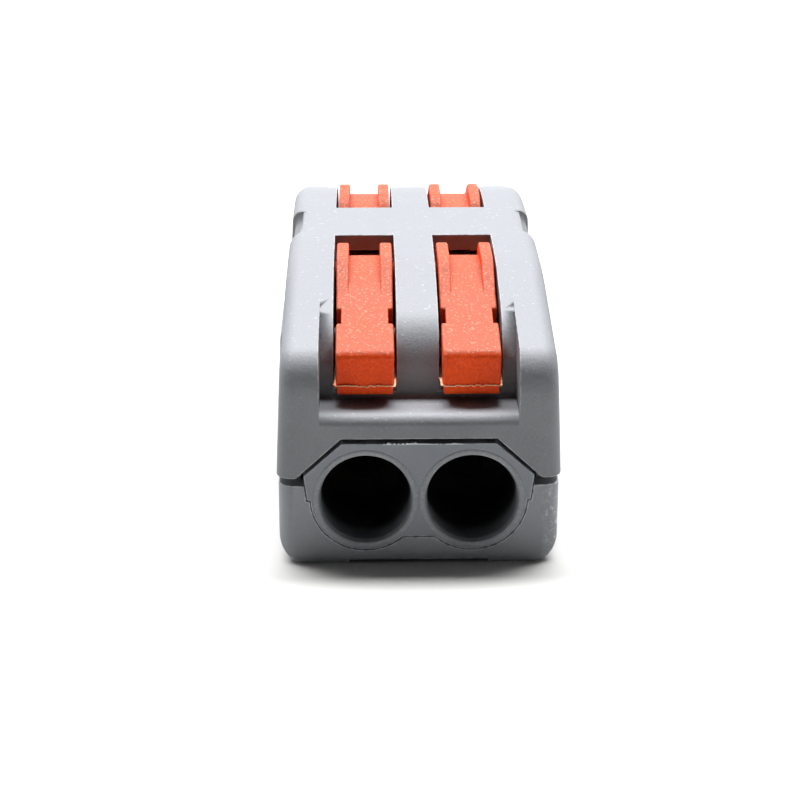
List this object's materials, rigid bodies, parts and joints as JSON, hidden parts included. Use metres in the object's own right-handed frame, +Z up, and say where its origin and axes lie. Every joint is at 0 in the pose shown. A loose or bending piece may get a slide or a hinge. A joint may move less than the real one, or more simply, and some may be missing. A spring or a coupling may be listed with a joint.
{
  "type": "lever wire connector",
  "caption": "In-line lever connector: each pole joins a front wire to a rear wire, with a lever that opens a cage clamp at every entry.",
  "frame": {"origin": "centre of the underside, on the plane of the two skids", "axes": "+X across the poles, +Y from the front entries to the rear entries, +Z upwards to the levers"},
  "size_m": [0.017, 0.041, 0.0159],
  "materials": {
    "housing": "moulded grey polyamide, fine grain",
    "guide": "moulded darker grey polyamide",
    "lever": "moulded orange polyamide, satin",
    "copper": null,
    "spring_steel": "bright stainless strip"
  },
  "bodies": {
    "housing": {"top_cover": "housing", "base_shell": "housing", "front_wire_guide": "guide", "rear_wire_guide": "guide", "left_busbar": "copper", "right_busbar": "copper", "front_left_clamp_spring": "spring_steel", "front_right_clamp_spring": "spring_steel", "rear_left_clamp_spring": "spring_steel", "rear_right_clamp_spring": "spring_steel"},
    "front_left_lever": {"front_left_lever": "lever"},
    "front_left_clamp": {"front_left_clamp_leg": "spring_steel"},
    "front_right_lever": {"front_right_lever": "lever"},
    "front_right_clamp": {"front_right_clamp_leg": "spring_steel"},
    "rear_left_lever": {"rear_left_lever": "lever"},
    "rear_left_clamp": {"rear_left_clamp_leg": "spring_steel"},
    "rear_right_lever": {"rear_right_lever": "lever"},
    "rear_right_clamp": {"rear_right_clamp_leg": "spring_steel"}
  },
  "joints": [
    {"name": "front_left_lever_pivot", "type": "hinge", "parent": "housing", "child": "front_left_lever", "pos_m": [-0.00317, -0.00635, 0.0136], "axis": [-1, 0, 0], "range_deg": [0, 90]},
    {"name": "front_left_clamp_travel", "type": "slide", "parent": "housing", "child": "front_left_clamp", "axis": [0, 0, -1], "range_m": [0, 0.003], "deforming": ["front_left_clamp_spring"]},
    {"name": "front_right_lever_pivot", "type": "hinge", "parent": "housing", "child": "front_right_lever", "pos_m": [0.00317, -0.00635, 0.0136], "axis": [-1, 0, 0], "range_deg": [0, 90]},
    {"name": "front_right_clamp_travel", "type": "slide", "parent": "housing", "child": "front_right_clamp", "axis": [0, 0, -1], "range_m": [0, 0.003], "deforming": ["front_right_clamp_spring"]},
    {"name": "rear_left_lever_pivot", "type": "hinge", "parent": "housing", "child": "rear_left_lever", "pos_m": [-0.00317, 0.00635, 0.0136], "axis": [1, 0, 0], "range_deg": [0, 90]},
    {"name": "rear_left_clamp_travel", "type": "slide", "parent": "housing", "child": "rear_left_clamp", "axis": [0, 0, -1], "range_m": [0, 0.003], "deforming": ["rear_left_clamp_spring"]},
    {"name": "rear_right_lever_pivot", "type": "hinge", "parent": "housing", "child": "rear_right_lever", "pos_m": [0.00317, 0.00635, 0.0136], "axis": [1, 0, 0], "range_deg": [0, 90]},
    {"name": "rear_right_clamp_travel", "type": "slide", "parent": "housing", "child": "rear_right_clamp", "axis": [0, 0, -1], "range_m": [0, 0.003], "deforming": ["rear_right_clamp_spring"]}
  ],
  "couplings": [
    {"joint": "front_left_clamp_travel", "follows": "front_left_lever_pivot", "m_per_rad": 0.0019},
    {"joint": "front_right_clamp_travel", "follows": "front_right_lever_pivot", "m_per_rad": 0.0019},
    {"joint": "rear_left_clamp_travel", "follows": "rear_left_lever_pivot", "m_per_rad": 0.0019},
    {"joint": "rear_right_clamp_travel", "follows": "rear_right_lever_pivot", "m_per_rad": 0.0019}
  ]
}
